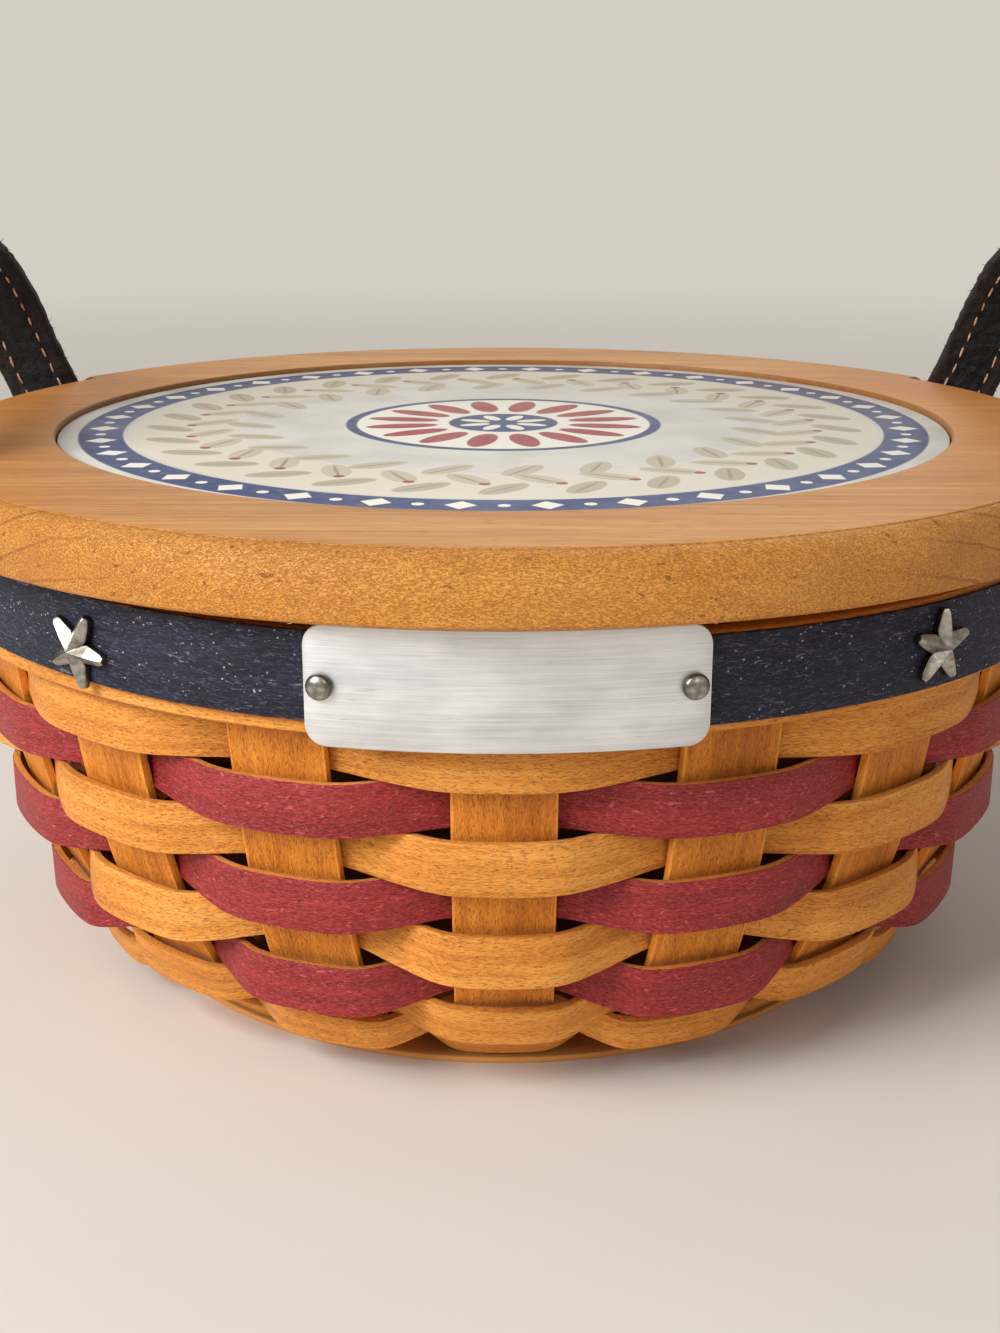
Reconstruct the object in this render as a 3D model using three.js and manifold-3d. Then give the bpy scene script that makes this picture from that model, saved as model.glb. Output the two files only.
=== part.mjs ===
// A round woven splint basket with a turned wooden lid and two leather carrying loops.
// Millimetres, +Z up, origin at the centre of the base's underside, front of the basket towards -Y.
import * as THREE from 'three';
import { mergeVertices } from 'three/addons/utils/BufferGeometryUtils.js';
import Module from 'manifold-3d';

const wasm = await Module();
wasm.setup();

// Clearance left between pieces that touch, and the number of sides of a full round.
const FIT_GAP = 0.3;
const ROUND_SIDES = 72;

// Turned base: a thin shelf under the last row, and a thicker hub with a groove for the staves' feet.
const BASE_RADIUS = 77.5;
const BASE_EDGE = 1.2;
const SHELF_WIDTH = 8;
const HUB_INSET = 11.5;
const GROOVE_DEPTH = 8;
const HUB_CAP = 1.6;

// Staves, the upright splints: a flat foot, then a quarter ellipse up to the rim.
const STAVE_COUNT = 18;
const STAVE_WIDTH = 16.8;
const STAVE_THICKNESS = 1.6;
const STAVE_STEPS = 14;
const FOOT_HEIGHT = 7.4;
const FOOT_INSET = 2.5;
const WALL_FLARE = 32.1;
const RIM_HEIGHT = 92.1;
const CREST_ABOVE_RIM = 19.3;

// Weavers, the horizontal splints: one separate hoop to each row, listed from the rim down. Each row takes a
// share of the wall, and stands up from the wall's lean by a share of that lean.
const ROW_SHARES = [1, 1, 1, 1, 1, 1, 0.85, 0.76, 0.68];
const ROW_UPRIGHT = [1, 1, 1, 1, 1.1, 0.95, 0.65, 0.52, 0.57];
const RED_ROWS = [2, 4, 6];
const WEAVER_THICKNESS = 1.3;
const ROW_GAP = 0.35;
const FIRST_ROW_GAP = 0.3;

// Rim: a band inside and a band outside the staves, with a painted strip over the outer one.
const BAND_HEIGHT = 19.1;
const BAND_THICKNESS = 1.8;
const INNER_BAND_RISE = 1;
const TRIM_HEIGHT = 14.3;
const TRIM_THICKNESS = 0.9;
const TRIM_RISE = 1.9;
const TRIM_TILT = THREE.MathUtils.degToRad(0.7);

// Star studs on the trim, a little below the rim's middle.
const STUD_ANGLES = [38.6, -37.4, 142, -142];
const STUD_DROP = 1.3;
const STUD_RADIUS = 6.3;
const STUD_INNER_RADIUS = 3;
const STUD_EDGE = 0.9;
const STUD_PEAK = 3.2;

// Name plate on the front, left blank and set a little to the right, and its two rivets.
const PLATE_WIDTH = 61;
const PLATE_SHIFT = 0.45;
const PLATE_HEIGHT = 19.2;
const PLATE_THICKNESS = 1;
const PLATE_CORNER = 3.2;
const PLATE_DROP = 0.9;
const PLATE_RIVET_INSET = 2.6;
const PLATE_RIVET_RADIUS = 2.1;
const PLATE_RIVET_RISE = 1.5;

// Lid: a turned board with a sunk panel on top, a locating disc below, and a notch at each handle.
const LID_OVERHANG = 6.9;
const LID_THICKNESS = 11.4;
const LID_EDGE_ROUND = 4.2;
const LID_UNDER_ROUND = 1.6;
const LID_BORDER = 29.2;
const PANEL_THICKNESS = 3;
const PANEL_SINK = 1.1;
const LOCATOR_THICKNESS = 3.6;
const LOCATOR_PLAY = 1.4;
const NOTCH_DEPTH = 7.2;
const NOTCH_HALF_ANGLE = THREE.MathUtils.degToRad(31);

// Leather handles: a free loop over two end tabs that are riveted to the trim. The loop's points are
// set out, up and apart from its feet.
const STRAP_WIDTH = 15;
const STRAP_THICKNESS = 3.4;
const HANDLE_HALF_ANGLE = THREE.MathUtils.degToRad(27);
const HANDLE_HINGE_DROP = 3.2;
const HANDLE_SHOULDER = { out: 7.5, spread: 3, up: 16.1 };
const HANDLE_HAUNCH = { out: 14.5, spread: -11.5, up: 41.6 };
const HANDLE_APEX = { out: 20, up: 54.8 };
const HANDLE_LEAN = THREE.MathUtils.degToRad(17);
const HANDLE_STEPS = 24;
const TAB_THICKNESS = 3;
const TAB_HEIGHT = 12.6;
const TAB_CORNER = 4;
const TAB_GAP = 0.5;
const TAB_RIVET_RADIUS = 3.4;
const TAB_RIVET_RISE = 1.8;

// Colours and finishes.
const FINISHES = {
  weaver: { color: 0xd9a05c, roughness: 0.55 },
  stave: { color: 0xb5742f, roughness: 0.6 },
  red: { color: 0x9c3a47, roughness: 0.6 },
  navy: { color: 0x343644, roughness: 0.65 },
  maple: { color: 0xcc9960, roughness: 0.4 },
  panel: { color: 0xd6cdbc, roughness: 0.5 },
  aluminium: { color: 0xc9c9c8, roughness: 0.35, metalness: 1 },
  pewter: { color: 0xb4b0a6, roughness: 0.4, metalness: 1 },
  leather: { color: 0x231b19, roughness: 0.75 },
};

const UP = new THREE.Vector3(0, 0, 1);

// The unit vector pointing out of the basket at an angle from the front, counted towards +X.
function outward(angle) {
  return new THREE.Vector3(Math.sin(angle), -Math.cos(angle), 0);
}

// The unit vector along the rim at that angle.
function along(angle) {
  return new THREE.Vector3(Math.cos(angle), Math.sin(angle), 0);
}

// The directions up and across a strip that leans out from upright.
function tilted(out, lean) {
  const up = out.clone().multiplyScalar(Math.sin(lean)).addScaledVector(UP, Math.cos(lean));
  const across = out.clone().multiplyScalar(Math.cos(lean)).addScaledVector(UP, -Math.sin(lean));
  return { up, across };
}

// A geometry of these corners and triangles, turned so that its faces point out.
function closedGeometry(position, index) {
  let volume = 0;
  const corner = [0, 1, 2].map(() => new THREE.Vector3());
  for (let i = 0; i < index.length; i += 3) {
    corner.forEach((v, k) => v.fromArray(position, 3 * index[i + k]));
    volume += corner[0].dot(corner[1].clone().cross(corner[2]));
  }
  const geometry = new THREE.BufferGeometry();
  geometry.setAttribute('position', new THREE.Float32BufferAttribute(position, 3));
  geometry.setIndex(volume < 0 ? index.slice().reverse() : index);
  geometry.computeVertexNormals();
  return geometry;
}

// The same geometry with shared corners merged and flat triangles dropped.
function merged(geometry) {
  geometry.deleteAttribute('normal');
  geometry.deleteAttribute('uv');
  const joined = mergeVertices(geometry, 1e-3);
  const source = joined.index.array;
  const index = [];
  for (let i = 0; i < source.length; i += 3) {
    const [a, b, c] = source.slice(i, i + 3);
    if (a !== b && b !== c && c !== a) index.push(a, b, c);
  }
  return closedGeometry(Array.from(joined.attributes.position.array), index);
}

// A strip swept through stations, each a centre c with a half-width w and a half-thickness t.
function ribbon(stations, isRing = false) {
  const position = [];
  const index = [];
  for (const { c, w, t } of stations) {
    for (const [i, j] of [[1, 1], [-1, 1], [-1, -1], [1, -1]]) {
      position.push(...c.clone().addScaledVector(w, i).addScaledVector(t, j).toArray());
    }
  }
  const count = stations.length;
  for (let s = 0; s < (isRing ? count : count - 1); s++) {
    const a = 4 * s;
    const b = 4 * ((s + 1) % count);
    for (let k = 0; k < 4; k++) {
      const m = (k + 1) % 4;
      index.push(a + k, a + m, b + m, a + k, b + m, b + k);
    }
  }
  if (!isRing) {
    const e = 4 * (count - 1);
    index.push(0, 2, 1, 0, 3, 2, e, e + 1, e + 2, e, e + 2, e + 3);
  }
  return closedGeometry(position, index);
}

// A solid turned about the Z axis from a profile of [radius, height] points.
function turned(profile, sides = ROUND_SIDES) {
  const points = profile.map(([r, z]) => new THREE.Vector2(r, z));
  return merged(new THREE.LatheGeometry(points, sides).rotateX(Math.PI / 2));
}

// Points of an elliptical arc in the [radius, height] plane.
function arc(r, z, rRadius, zRadius, from, to, steps) {
  const curve = new THREE.EllipseCurve(r, z, rRadius, zRadius, from, to, to < from);
  return curve.getPoints(steps).map((p) => [p.x, p.y]);
}

function ring(inner, outer, low, high) {
  return turned([[inner, low], [outer, low], [outer, high], [inner, high], [inner, low]]);
}

// A plate with rounded corners, bent round the rim at a radius and centred on an angle.
function rimPlate(radius, thickness, width, height, corner, angle, middle, steps) {
  const half = width / 2;
  const stops = [];
  for (let i = 0; i <= 4; i++) stops.push(-half + corner * (1 - Math.cos((i * Math.PI) / 8)));
  const flat = width - 2 * corner;
  for (let i = 1; i < steps; i++) stops.push(-half + corner + (flat * i) / steps);
  for (let i = 0; i <= 4; i++) stops.push(half - corner * (1 - Math.sin((i * Math.PI) / 8)));
  const stations = stops.map((x) => {
    const reach = Math.max(0, Math.abs(x) - (half - corner));
    const tall = height / 2 - corner + Math.sqrt(Math.max(0, corner * corner - reach * reach));
    const out = outward(angle + x / radius);
    return {
      c: out.clone().multiplyScalar(radius + thickness / 2).setZ(middle),
      w: UP.clone().multiplyScalar(tall),
      t: out.clone().multiplyScalar(thickness / 2),
    };
  });
  return ribbon(stations);
}

// A domed rivet head, flat side on its seat.
function rivetHead(radius, rise) {
  const rim = rise / 4;
  return turned([[0, 0], [radius, 0], ...arc(0, rim, radius, rise - rim, 0, Math.PI / 2, 4)], 16);
}

// A five-pointed stud with a ridge along each arm, flat side on its seat.
function starStud() {
  const outline = [];
  for (let i = 0; i < 10; i++) {
    const reach = i % 2 ? STUD_INNER_RADIUS : STUD_RADIUS;
    const turn = Math.PI / 2 + (i * Math.PI) / 5;
    outline.push([reach * Math.cos(turn), reach * Math.sin(turn)]);
  }
  const position = [];
  outline.forEach(([x, y]) => position.push(x, y, 0));
  outline.forEach(([x, y]) => position.push(x, y, STUD_EDGE));
  position.push(0, 0, 0, 0, 0, STUD_PEAK);
  const index = [];
  for (let i = 0; i < 10; i++) {
    const j = (i + 1) % 10;
    index.push(20, j, i, i, j, 10 + j, i, 10 + j, 10 + i, 21, 10 + i, 10 + j);
  }
  return closedGeometry(position, index);
}

// Joins and cuts through closed triangle meshes.
function toSolid(geometry) {
  const clean = merged(geometry.clone());
  const vertProperties = new Float32Array(clean.attributes.position.array);
  const triVerts = new Uint32Array(clean.index.array);
  return new wasm.Manifold(new wasm.Mesh({ numProp: 3, vertProperties, triVerts }));
}

function cut(geometry, ...tools) {
  const solid = tools.reduce((body, tool) => body.subtract(toSolid(tool)), toSolid(geometry));
  const mesh = solid.getMesh();
  return closedGeometry(Array.from(mesh.vertProperties), Array.from(mesh.triVerts));
}

const basket = new THREE.Group();

function addPart(name, geometry, finish, place = (mesh) => mesh) {
  const mesh = new THREE.Mesh(geometry, new THREE.MeshStandardMaterial(FINISHES[finish]));
  mesh.name = name;
  place(mesh);
  basket.add(mesh);
}

// Seats a piece that was modelled flat, facing +Z, on a round face of the basket.
function faceOut(angle, radius, height) {
  return (mesh) => {
    const out = outward(angle);
    mesh.quaternion.setFromRotationMatrix(new THREE.Matrix4().makeBasis(along(angle), UP, out));
    mesh.position.copy(out.multiplyScalar(radius)).setZ(height);
  };
}

// The wall's middle line, from the staves' feet to the rim, in the [radius, height] plane.
const footRadius = BASE_RADIUS - FOOT_INSET;
const wallCrest = RIM_HEIGHT + CREST_ABOVE_RIM;
const wallRise = wallCrest - FOOT_HEIGHT;
const rimTurn = -Math.asin(CREST_ABOVE_RIM / wallRise);
const wall = new THREE.EllipseCurve(footRadius, wallCrest, WALL_FLARE, wallRise, -Math.PI / 2, rimTurn);
const wallLength = wall.getLength();

function wallRadius(height) {
  const drop = Math.min(1, (wallCrest - height) / wallRise);
  return footRadius + WALL_FLARE * Math.sqrt(1 - drop * drop);
}

// A place on the wall: its radius, height and lean from upright.
function wallPlace(point, direction) {
  return { r: point.x, z: point.y, lean: Math.atan2(direction.x, direction.y) };
}

// The place a distance below the rim, measured along the wall.
function wallAt(drop) {
  const u = Math.max(0, 1 - drop / wallLength);
  return wallPlace(wall.getPointAt(u), wall.getTangentAt(u));
}

const hubRadius = BASE_RADIUS - HUB_INSET;
const grooveRadius = hubRadius - GROOVE_DEPTH;

function makeBase() {
  const floor = FOOT_HEIGHT - STAVE_THICKNESS / 2 - FIT_GAP;
  const ceiling = FOOT_HEIGHT + STAVE_THICKNESS / 2 + FIT_GAP;
  addPart('base_disc', turned([
    [0, 0], [BASE_RADIUS, 0], [BASE_RADIUS, BASE_EDGE], [BASE_RADIUS - SHELF_WIDTH, BASE_EDGE],
    [hubRadius, floor], [grooveRadius, floor],
    [grooveRadius, ceiling], [hubRadius, ceiling], [hubRadius, ceiling + HUB_CAP], [0, ceiling + HUB_CAP],
  ]), 'maple');
}

function makeStaves() {
  const line = [{ r: grooveRadius + FIT_GAP, z: FOOT_HEIGHT, lean: Math.PI / 2 }];
  for (let i = 0; i <= STAVE_STEPS; i++) {
    line.push(wallPlace(wall.getPoint(i / STAVE_STEPS), wall.getTangent(i / STAVE_STEPS)));
  }
  for (let k = 0; k < STAVE_COUNT; k++) {
    const angle = (2 * Math.PI * k) / STAVE_COUNT;
    const out = outward(angle);
    const stations = line.map(({ r, z, lean }) => ({
      c: out.clone().multiplyScalar(r).setZ(z),
      w: along(angle).multiplyScalar(STAVE_WIDTH / 2),
      t: tilted(out, lean).across.multiplyScalar(STAVE_THICKNESS / 2),
    }));
    addPart(`stave_${String(k + 1).padStart(2, '0')}`, ribbon(stations), 'stave');
  }
}

const sum = (values) => values.reduce((total, value) => total + value, 0);
const rowsTop = BAND_HEIGHT + FIRST_ROW_GAP;
const rowUnit = (wallLength - rowsTop) / sum(ROW_SHARES);

// How a row's weaver sits on the wall. Standing up from the wall's lean, it is pushed away from the wall
// where it passes outside or inside a stave.
function rowSeat(row) {
  const share = ROW_SHARES[row - 1];
  const drop = rowsTop + rowUnit * (sum(ROW_SHARES.slice(0, row - 1)) + share / 2);
  const width = rowUnit * share - ROW_GAP;
  const seat = wallAt(drop);
  const raised = seat.lean * ROW_UPRIGHT[row - 1];
  const above = seat.lean - wallAt(drop - width / 2).lean;
  const below = wallAt(drop + width / 2).lean - seat.lean;
  const outside = (STAVE_THICKNESS + WEAVER_THICKNESS) / 2 + FIT_GAP + (width / 2) * Math.sin(raised);
  const inside = outside + (width / 4) * Math.max(above, below);
  return { ...seat, width, tilt: seat.lean - raised, outside, inside };
}

function weaverStation(seat, angle, sideways, away) {
  const out = outward(angle);
  const r = seat.r + away * Math.cos(seat.lean);
  const z = seat.z - away * Math.sin(seat.lean);
  const { up, across } = tilted(out, seat.tilt);
  return {
    c: out.multiplyScalar(r).addScaledVector(along(angle), sideways).setZ(z),
    w: up.multiplyScalar(seat.width / 2),
    t: across.multiplyScalar(WEAVER_THICKNESS / 2),
  };
}

function makeWeavers() {
  const step = (2 * Math.PI) / STAVE_COUNT;
  const flat = STAVE_WIDTH / 2 + FIT_GAP;
  for (let row = 1; row <= ROW_SHARES.length; row++) {
    const seat = rowSeat(row);
    const stations = [];
    for (let k = 0; k < STAVE_COUNT; k++) {
      const passesOutside = (k + row) % 2 === 1;
      const away = passesOutside ? seat.outside : -seat.inside;
      stations.push(weaverStation(seat, k * step, -flat, away));
      stations.push(weaverStation(seat, k * step, flat, away));
      stations.push(weaverStation(seat, (k + 0.5) * step, 0, 0));
    }
    addPart(`weaver_${row}`, ribbon(stations, true), RED_ROWS.includes(row) ? 'red' : 'weaver');
  }
}

// Radii of the rim's layers, from the staves outwards.
const bandFoot = RIM_HEIGHT - BAND_HEIGHT;
const staveHalf = STAVE_WIDTH / 2;
const rimFace = wallRadius(RIM_HEIGHT) + STAVE_THICKNESS / 2 + FIT_GAP;
const firstRow = rowSeat(1);
const firstRowFace = firstRow.r + firstRow.outside + WEAVER_THICKNESS / 2;
const outerBandInside = Math.hypot(Math.max(rimFace, firstRowFace), staveHalf) + FIT_GAP;
const outerBandFace = outerBandInside + BAND_THICKNESS;
const trimInside = outerBandFace + FIT_GAP;
const trimFace = trimInside + TRIM_THICKNESS;
const trimMiddle = bandFoot + TRIM_RISE + TRIM_HEIGHT / 2;
const rimMiddle = bandFoot + BAND_HEIGHT / 2;

// The inner band leans with the wall, clear of the staves' inner faces.
const innerBandSink = STAVE_THICKNESS / 2 + FIT_GAP;
const innerBandFoot = bandFoot + INNER_BAND_RISE;
const innerBandLow = wallRadius(innerBandFoot) - innerBandSink;
const innerBandHigh = wallRadius(RIM_HEIGHT) - innerBandSink;

function makeRim() {
  addPart('inner_rim_band', turned([
    [innerBandLow - BAND_THICKNESS, innerBandFoot], [innerBandLow, innerBandFoot],
    [innerBandHigh, RIM_HEIGHT], [innerBandHigh - BAND_THICKNESS, RIM_HEIGHT],
    [innerBandLow - BAND_THICKNESS, innerBandFoot],
  ]), 'weaver');
  addPart('outer_rim_band', ring(outerBandInside, outerBandFace, bandFoot, RIM_HEIGHT), 'weaver');
  addPart('trim_band', ring(trimInside, trimFace, -TRIM_HEIGHT / 2, TRIM_HEIGHT / 2), 'navy', (mesh) => {
    mesh.rotation.y = TRIM_TILT;
    mesh.position.z = trimMiddle;
  });
}

function makeStuds() {
  const seat = trimFace + FIT_GAP;
  STUD_ANGLES.forEach((degrees, i) => {
    const place = faceOut(THREE.MathUtils.degToRad(degrees), seat, rimMiddle - STUD_DROP);
    addPart(`star_stud_${i + 1}`, starStud(), 'pewter', place);
  });
}

function makePlate() {
  const seat = trimFace + FIT_GAP;
  const middle = RIM_HEIGHT - PLATE_DROP - PLATE_HEIGHT / 2;
  const turn = PLATE_SHIFT / seat;
  addPart('front_plate',
    rimPlate(seat, PLATE_THICKNESS, PLATE_WIDTH, PLATE_HEIGHT, PLATE_CORNER, turn, middle, 10), 'aluminium');
  const face = seat + PLATE_THICKNESS + FIT_GAP;
  const swing = (PLATE_WIDTH / 2 - PLATE_RIVET_INSET) / seat;
  for (const [side, angle] of [['left', turn - swing], ['right', turn + swing]]) {
    addPart(`plate_rivet_${side}`, rivetHead(PLATE_RIVET_RADIUS, PLATE_RIVET_RISE), 'pewter',
      faceOut(angle, face, middle));
  }
}

// The lid rests on the rim, its locating disc a little smaller than the inner band's bore.
const lidFoot = RIM_HEIGHT + FIT_GAP;
const lidTop = lidFoot + LID_THICKNESS;
const lidRadius = trimFace + LID_OVERHANG;
const notchRadius = lidRadius - NOTCH_DEPTH;
const panelTop = lidTop - PANEL_SINK;

// A block that clears the lid's edge over one handle.
function notchTool(middle) {
  const reach = 2 * NOTCH_DEPTH;
  const stations = [];
  for (let i = 0; i <= 12; i++) {
    const out = outward(middle + NOTCH_HALF_ANGLE * (i / 6 - 1));
    stations.push({
      c: out.clone().multiplyScalar(notchRadius + reach / 2).setZ(lidFoot + LID_THICKNESS / 2),
      w: UP.clone().multiplyScalar(LID_THICKNESS),
      t: out.clone().multiplyScalar(reach / 2),
    });
  }
  return ribbon(stations);
}

function makeLid() {
  const recessRadius = lidRadius - LID_BORDER;
  const panelRadius = recessRadius - FIT_GAP;
  const recessFloor = panelTop - PANEL_THICKNESS - FIT_GAP;
  const nose = lidFoot + LID_UNDER_ROUND;
  const board = turned([
    [0, lidFoot],
    ...arc(lidRadius - LID_UNDER_ROUND, nose, LID_UNDER_ROUND, LID_UNDER_ROUND, -Math.PI / 2, 0, 3),
    ...arc(lidRadius - LID_EDGE_ROUND, nose, LID_EDGE_ROUND, lidTop - nose, 0, Math.PI / 2, 5).slice(1),
    [recessRadius, lidTop], [recessRadius, recessFloor], [0, recessFloor],
  ]);
  addPart('lid_board', cut(board, notchTool(Math.PI / 2), notchTool(-Math.PI / 2)), 'maple');
  addPart('lid_panel', turned([
    [0, panelTop - PANEL_THICKNESS], [panelRadius, panelTop - PANEL_THICKNESS],
    [panelRadius, panelTop], [0, panelTop],
  ]), 'panel');
  const locatorTop = lidFoot - FIT_GAP;
  const bore = wallRadius(locatorTop - LOCATOR_THICKNESS) - innerBandSink - BAND_THICKNESS;
  const locatorRadius = bore - LOCATOR_PLAY;
  addPart('lid_locating_disc', turned([
    [0, locatorTop - LOCATOR_THICKNESS], [locatorRadius, locatorTop - LOCATOR_THICKNESS],
    [locatorRadius, locatorTop], [0, locatorTop],
  ]), 'maple');
}

const hingeHeight = RIM_HEIGHT - HANDLE_HINGE_DROP;

// One leather loop, arching over its side of the lid from the front tab to the back tab.
// The strap lies along the rim at its ends and turns its edge to the rim above the lid.
function handleLoop(sideAngle) {
  const out = outward(sideAngle);
  const side = along(sideAngle);
  const seat = trimFace + FIT_GAP + TAB_THICKNESS / 2 + FIT_GAP;
  const footOut = seat * Math.cos(HANDLE_HALF_ANGLE);
  const footSpread = seat * Math.sin(HANDLE_HALF_ANGLE);
  const half = [{ out: 0, spread: 0, up: 0 }, HANDLE_SHOULDER, HANDLE_HAUNCH];
  const spot = (p, sign) => out.clone().multiplyScalar(footOut + p.out)
    .addScaledVector(side, sign * (footSpread + p.spread)).setZ(hingeHeight + p.up);
  const apex = out.clone().multiplyScalar(footOut + HANDLE_APEX.out).setZ(hingeHeight + HANDLE_APEX.up);
  const route = new THREE.CatmullRomCurve3([
    ...half.map((p) => spot(p, -1)), apex, ...half.toReversed().map((p) => spot(p, 1)),
  ]);
  const arched = tilted(out, HANDLE_LEAN).across;
  const stations = [];
  for (let i = 0; i <= HANDLE_STEPS; i++) {
    const c = route.getPointAt(i / HANDLE_STEPS);
    const sign = i <= HANDLE_STEPS / 2 ? 1 : -1;
    const twist = THREE.MathUtils.smoothstep(c.z - hingeHeight, 0, HANDLE_SHOULDER.up);
    const heading = route.getTangentAt(i / HANDLE_STEPS);
    const path = UP.clone().multiplyScalar(sign).lerp(heading, twist).normalize();
    const flat = out.clone().multiplyScalar(Math.sin(HANDLE_HALF_ANGLE))
      .addScaledVector(side, sign * Math.cos(HANDLE_HALF_ANGLE));
    const w = flat.lerp(arched, twist);
    w.addScaledVector(path, -w.dot(path)).normalize();
    stations.push({
      c,
      w: w.clone().multiplyScalar(STRAP_WIDTH / 2),
      t: path.clone().cross(w).multiplyScalar(STRAP_THICKNESS / 2),
    });
  }
  return ribbon(stations);
}

function makeHandles() {
  const seat = trimFace + FIT_GAP;
  const middle = hingeHeight - TAB_GAP - TAB_HEIGHT / 2;
  for (const [name, sideAngle] of [['left', -Math.PI / 2], ['right', Math.PI / 2]]) {
    addPart(`${name}_handle_loop`, handleLoop(sideAngle), 'leather');
    for (const [end, sign] of [['front', -1], ['back', 1]]) {
      const toFront = sideAngle > 0 ? sign : -sign;
      const angle = sideAngle + toFront * HANDLE_HALF_ANGLE;
      addPart(`${name}_handle_${end}_tab`,
        rimPlate(seat, TAB_THICKNESS, STRAP_WIDTH, TAB_HEIGHT, TAB_CORNER, angle, middle, 2), 'leather');
      addPart(`${name}_handle_${end}_rivet`, rivetHead(TAB_RIVET_RADIUS, TAB_RIVET_RISE), 'pewter',
        faceOut(angle, seat + TAB_THICKNESS + FIT_GAP, middle));
    }
  }
}

makeBase();
makeStaves();
makeWeavers();
makeRim();
makeStuds();
makePlate();
makeLid();
makeHandles();

export default basket;
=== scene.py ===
"""Looks of a round woven splint basket with a turned lid and leather loops, built on its CAD frame."""
import math

import bpy
import numpy as np
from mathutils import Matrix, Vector, noise


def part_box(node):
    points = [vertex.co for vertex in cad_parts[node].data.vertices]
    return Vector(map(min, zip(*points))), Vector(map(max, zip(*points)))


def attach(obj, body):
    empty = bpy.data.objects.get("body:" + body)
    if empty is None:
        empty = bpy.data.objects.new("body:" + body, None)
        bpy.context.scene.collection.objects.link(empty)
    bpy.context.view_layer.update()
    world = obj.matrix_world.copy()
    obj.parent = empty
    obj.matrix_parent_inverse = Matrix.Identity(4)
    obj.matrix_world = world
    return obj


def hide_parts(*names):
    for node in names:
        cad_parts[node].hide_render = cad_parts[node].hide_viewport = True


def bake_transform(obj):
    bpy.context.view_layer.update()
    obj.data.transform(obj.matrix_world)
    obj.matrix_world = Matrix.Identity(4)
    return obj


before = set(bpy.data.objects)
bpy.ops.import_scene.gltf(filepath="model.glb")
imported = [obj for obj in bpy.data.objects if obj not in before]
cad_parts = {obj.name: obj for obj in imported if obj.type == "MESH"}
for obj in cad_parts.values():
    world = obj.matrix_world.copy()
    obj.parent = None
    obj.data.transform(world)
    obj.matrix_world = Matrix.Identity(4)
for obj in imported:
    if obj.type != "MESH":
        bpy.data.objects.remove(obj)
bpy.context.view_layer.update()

MM = 0.001
SIDES = {"left": -1, "right": 1}
RNG = np.random.RandomState(7)

# Sizes shared with the CAD solids, in millimetres and radians.
FIT_GAP = 0.3
STAVE_COUNT = 18
STAVE_WIDTH = 16.8
STAVE_THICKNESS = 1.6
STAVE_TAIL = 15.4
BASE_RADIUS = 77.5
BASE_EDGE = 1.2
SHELF_RADIUS = 69.5
HUB_RADIUS = 66.0
GROOVE_RADIUS = 58.0
HUB_CAP = 1.6
FOOT_HEIGHT = 7.4
FOOT_RADIUS = 75.0
WALL_RADIUS = 107.1
WALL_CREST = 111.4
RIM_HEIGHT = 92.1
ROW_SHARES = (1, 1, 1, 1, 1, 1, 0.85, 0.76, 0.68)
RED_ROWS = (2, 4, 6)
BAND_HEIGHT = 19.1
BAND_FOOT = RIM_HEIGHT - BAND_HEIGHT
ROWS_TOP = BAND_HEIGHT + FIT_GAP
OUTER_BAND = (108.27, 110.07)
BAND_THICKNESS = 1.8
INNER_BAND_LEAN = 1.6
TRIM = (110.37, 111.27)
TRIM_HEIGHT = 14.3
TRIM_MIDDLE = BAND_FOOT + 1.9 + TRIM_HEIGHT / 2
TRIM_TILT = math.radians(0.7)
SEAT = TRIM[1] + FIT_GAP
STAR_HEIGHT = BAND_FOOT + BAND_HEIGHT / 2 - 1.3
LID_FOOT = RIM_HEIGHT + FIT_GAP
LID_TOP = LID_FOOT + 11.4
LID_RADIUS = 118.17
LID_FLAT_RADIUS = LID_RADIUS - 4.2
RECESS_RADIUS = 88.97
PANEL_TOP = LID_TOP - 1.1
PANEL_THICKNESS = 3.0
NOTCH_RADIUS = 110.97
NOTCH_HALF_ANGLE = math.radians(31)
PLATE_WIDTH = 61.0
PLATE_HEIGHT = 19.2
PLATE_MIDDLE = RIM_HEIGHT - 0.9 - PLATE_HEIGHT / 2
PLATE_TURN = 0.45 / SEAT
PLATE_THICKNESS = 1.0
PLATE_CORNER = 3.2
PLATE_RIVET_RADIUS = 2.1
PLATE_RIVET_RISE = 1.5
PLATE_RIVET_INSET = 2.6
STRAP_WIDTH = 15.0
STRAP_THICKNESS = 3.4
HANDLE_HALF_ANGLE = math.radians(27)
HANDLE_LEAN = math.radians(17)
HANDLE_FOOT = 113.37
HANDLE_POINTS = ((108.51, 54.47, 105.0), (115.51, 39.97, 130.5), (121.01, 0.0, 143.7))
HINGE_HEIGHT = 88.9
TAB_FOOT = 75.8
TAB_MIDDLE = 82.0
TAB_CORNER = 4.0
TAB_RIVET_RADIUS = 3.4
TAB_RIVET_RISE = 1.8
TAB_RIVET_SEAT = HANDLE_FOOT + 1.9
TAB_RIVET_HEIGHT = 82.1

# The splints as they show: fuller than their solids, packed edge on edge, and sprung off the staves.
# Each row stands up by a share of the wall's lean, and has crept a little up or down the wall.
# A row's wave turns sharply behind the staves, and is pushed outwards towards the two sides.
WEAVER_THICKNESS = 1.5
ROW_OVERLAP = -0.1
ROW_UPRIGHT = (1, 1, 1, 1, 1.1, 0.95, 0.5, 0.56, 0.36)
ROW_CREEP = (0.3, 0.1, 0, 0, 0.1, -0.3, 0.3, 1.9, 0.2)
SPRING = 0.4
SPLINT_CORNER = 0.18
STAVE_CAMBER = 0.8
STEPS_PER_STAVE = 20
WAVE_CORNER = 5
WAVE_BIAS = 0.45

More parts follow.
